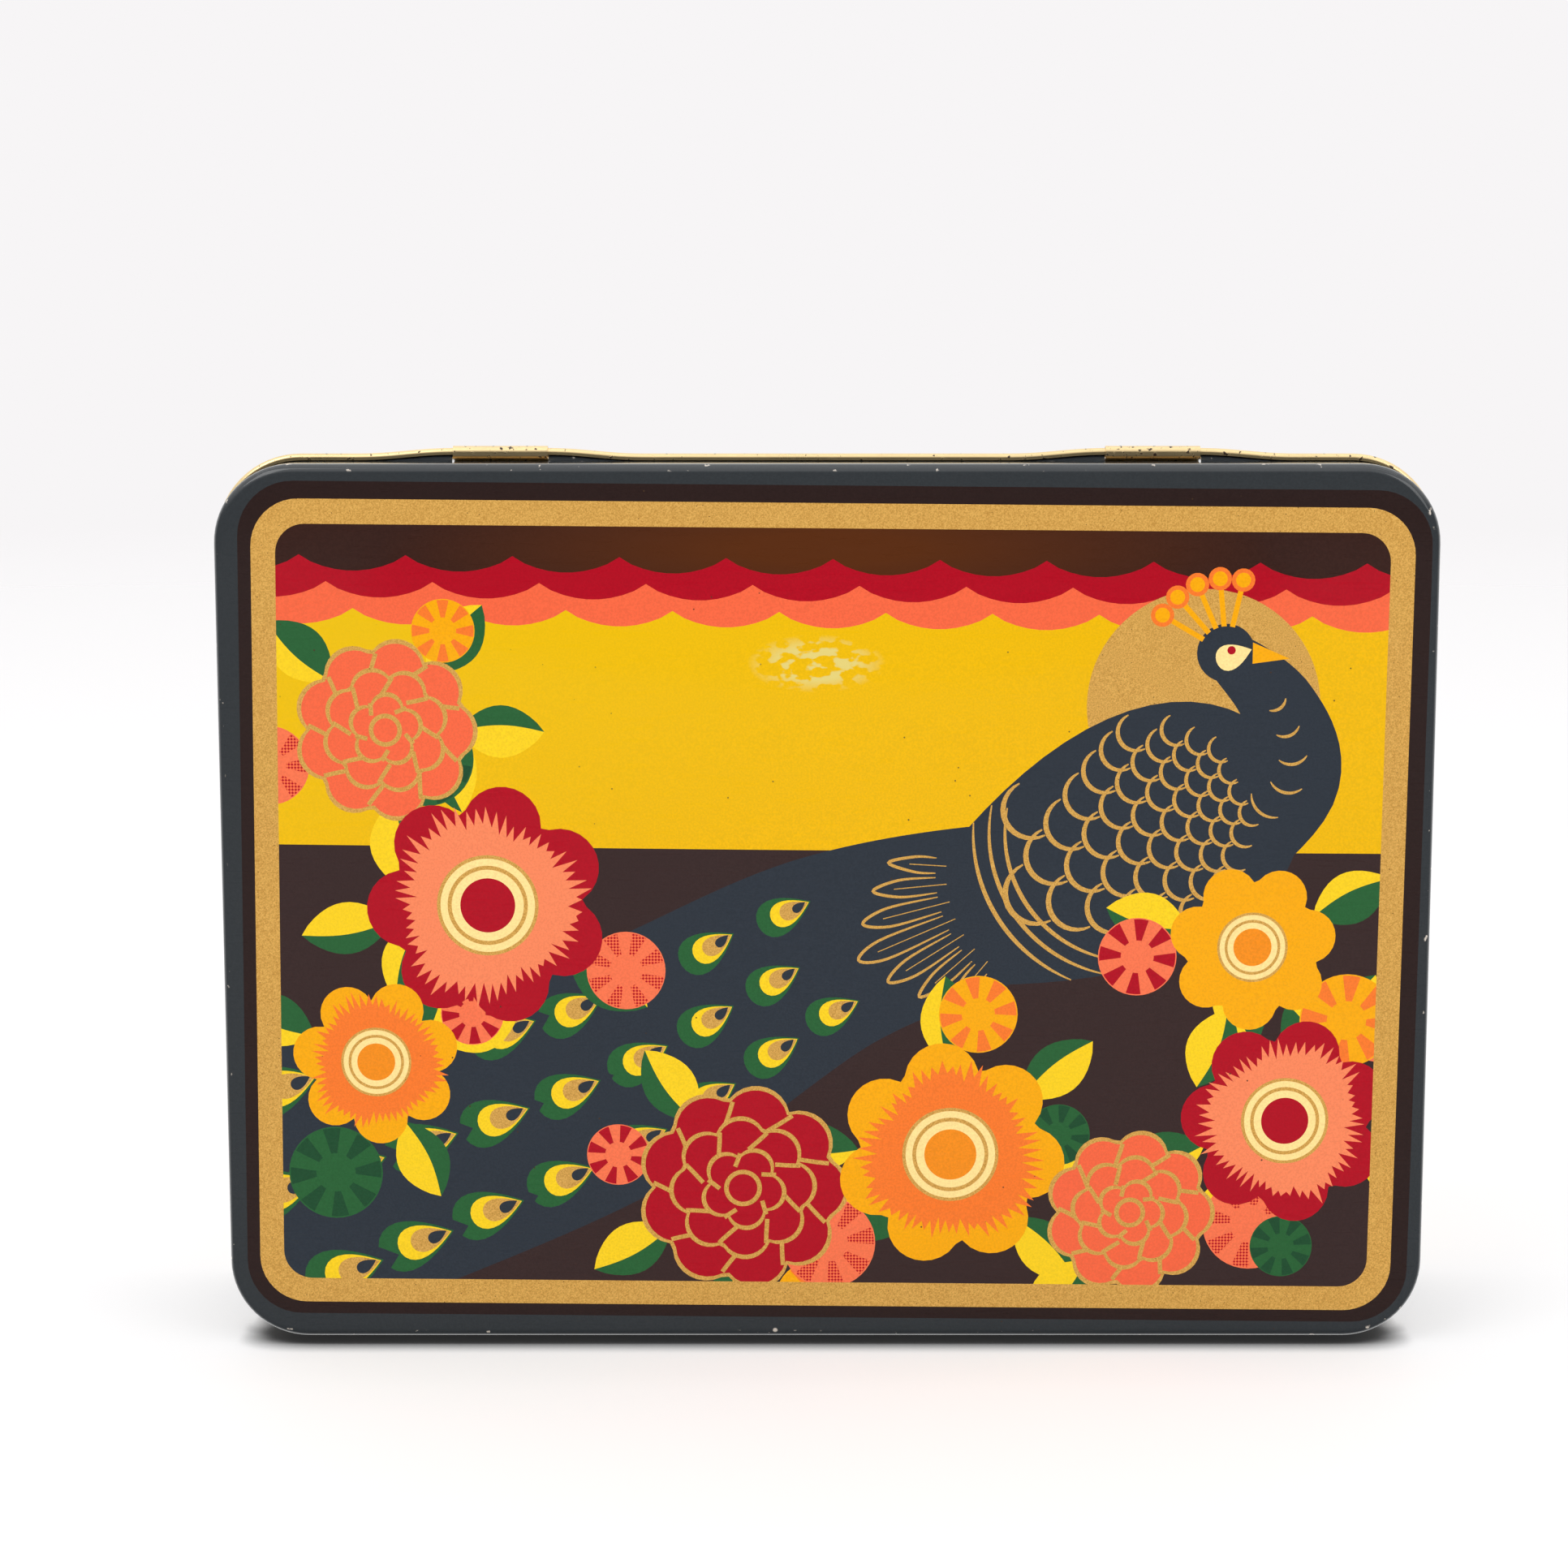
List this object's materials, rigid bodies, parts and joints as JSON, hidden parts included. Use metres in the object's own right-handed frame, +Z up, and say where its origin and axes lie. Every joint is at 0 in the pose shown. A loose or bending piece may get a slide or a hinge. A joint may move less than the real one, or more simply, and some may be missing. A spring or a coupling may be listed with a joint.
{
  "type": "hinged tin box",
  "caption": "Rectangular tinplate box with a domed, decorated hinged lid; the lid's wired curl turns in sheet-metal straps and closes over the body wall.",
  "frame": {"origin": "centre of the bounding box's underside, on the surface that the box stands on, front edge down", "axes": "+X along the width, +Y from the lid's face to the bottom panel, +Z up from the front edge to the hinges"},
  "size_m": [0.2328, 0.052, 0.1727],
  "materials": {
    "lid_print": "gloss varnished print, worn",
    "gold_lacquer": "gold lacquered tinplate, worn",
    "wire": "dull drawn wire",
    "body_print": "gloss varnished print",
    "bottom_lacquer": "gold lacquered tinplate"
  },
  "bodies": {
    "body": {"body_wall": "body_print", "bottom_panel": "bottom_lacquer", "hinge_strap_left": "gold_lacquer", "hinge_strap_right": "gold_lacquer"},
    "lid": {"lid_shell": "lid_print", "lid_rim_wire": "wire"}
  },
  "joints": [
    {"name": "lid_hinge", "type": "hinge", "parent": "body", "child": "lid", "pos_m": [0, -0.0114, 0.17143], "axis": [-1, 0, 0], "range_deg": [0, 180]}
  ]
}
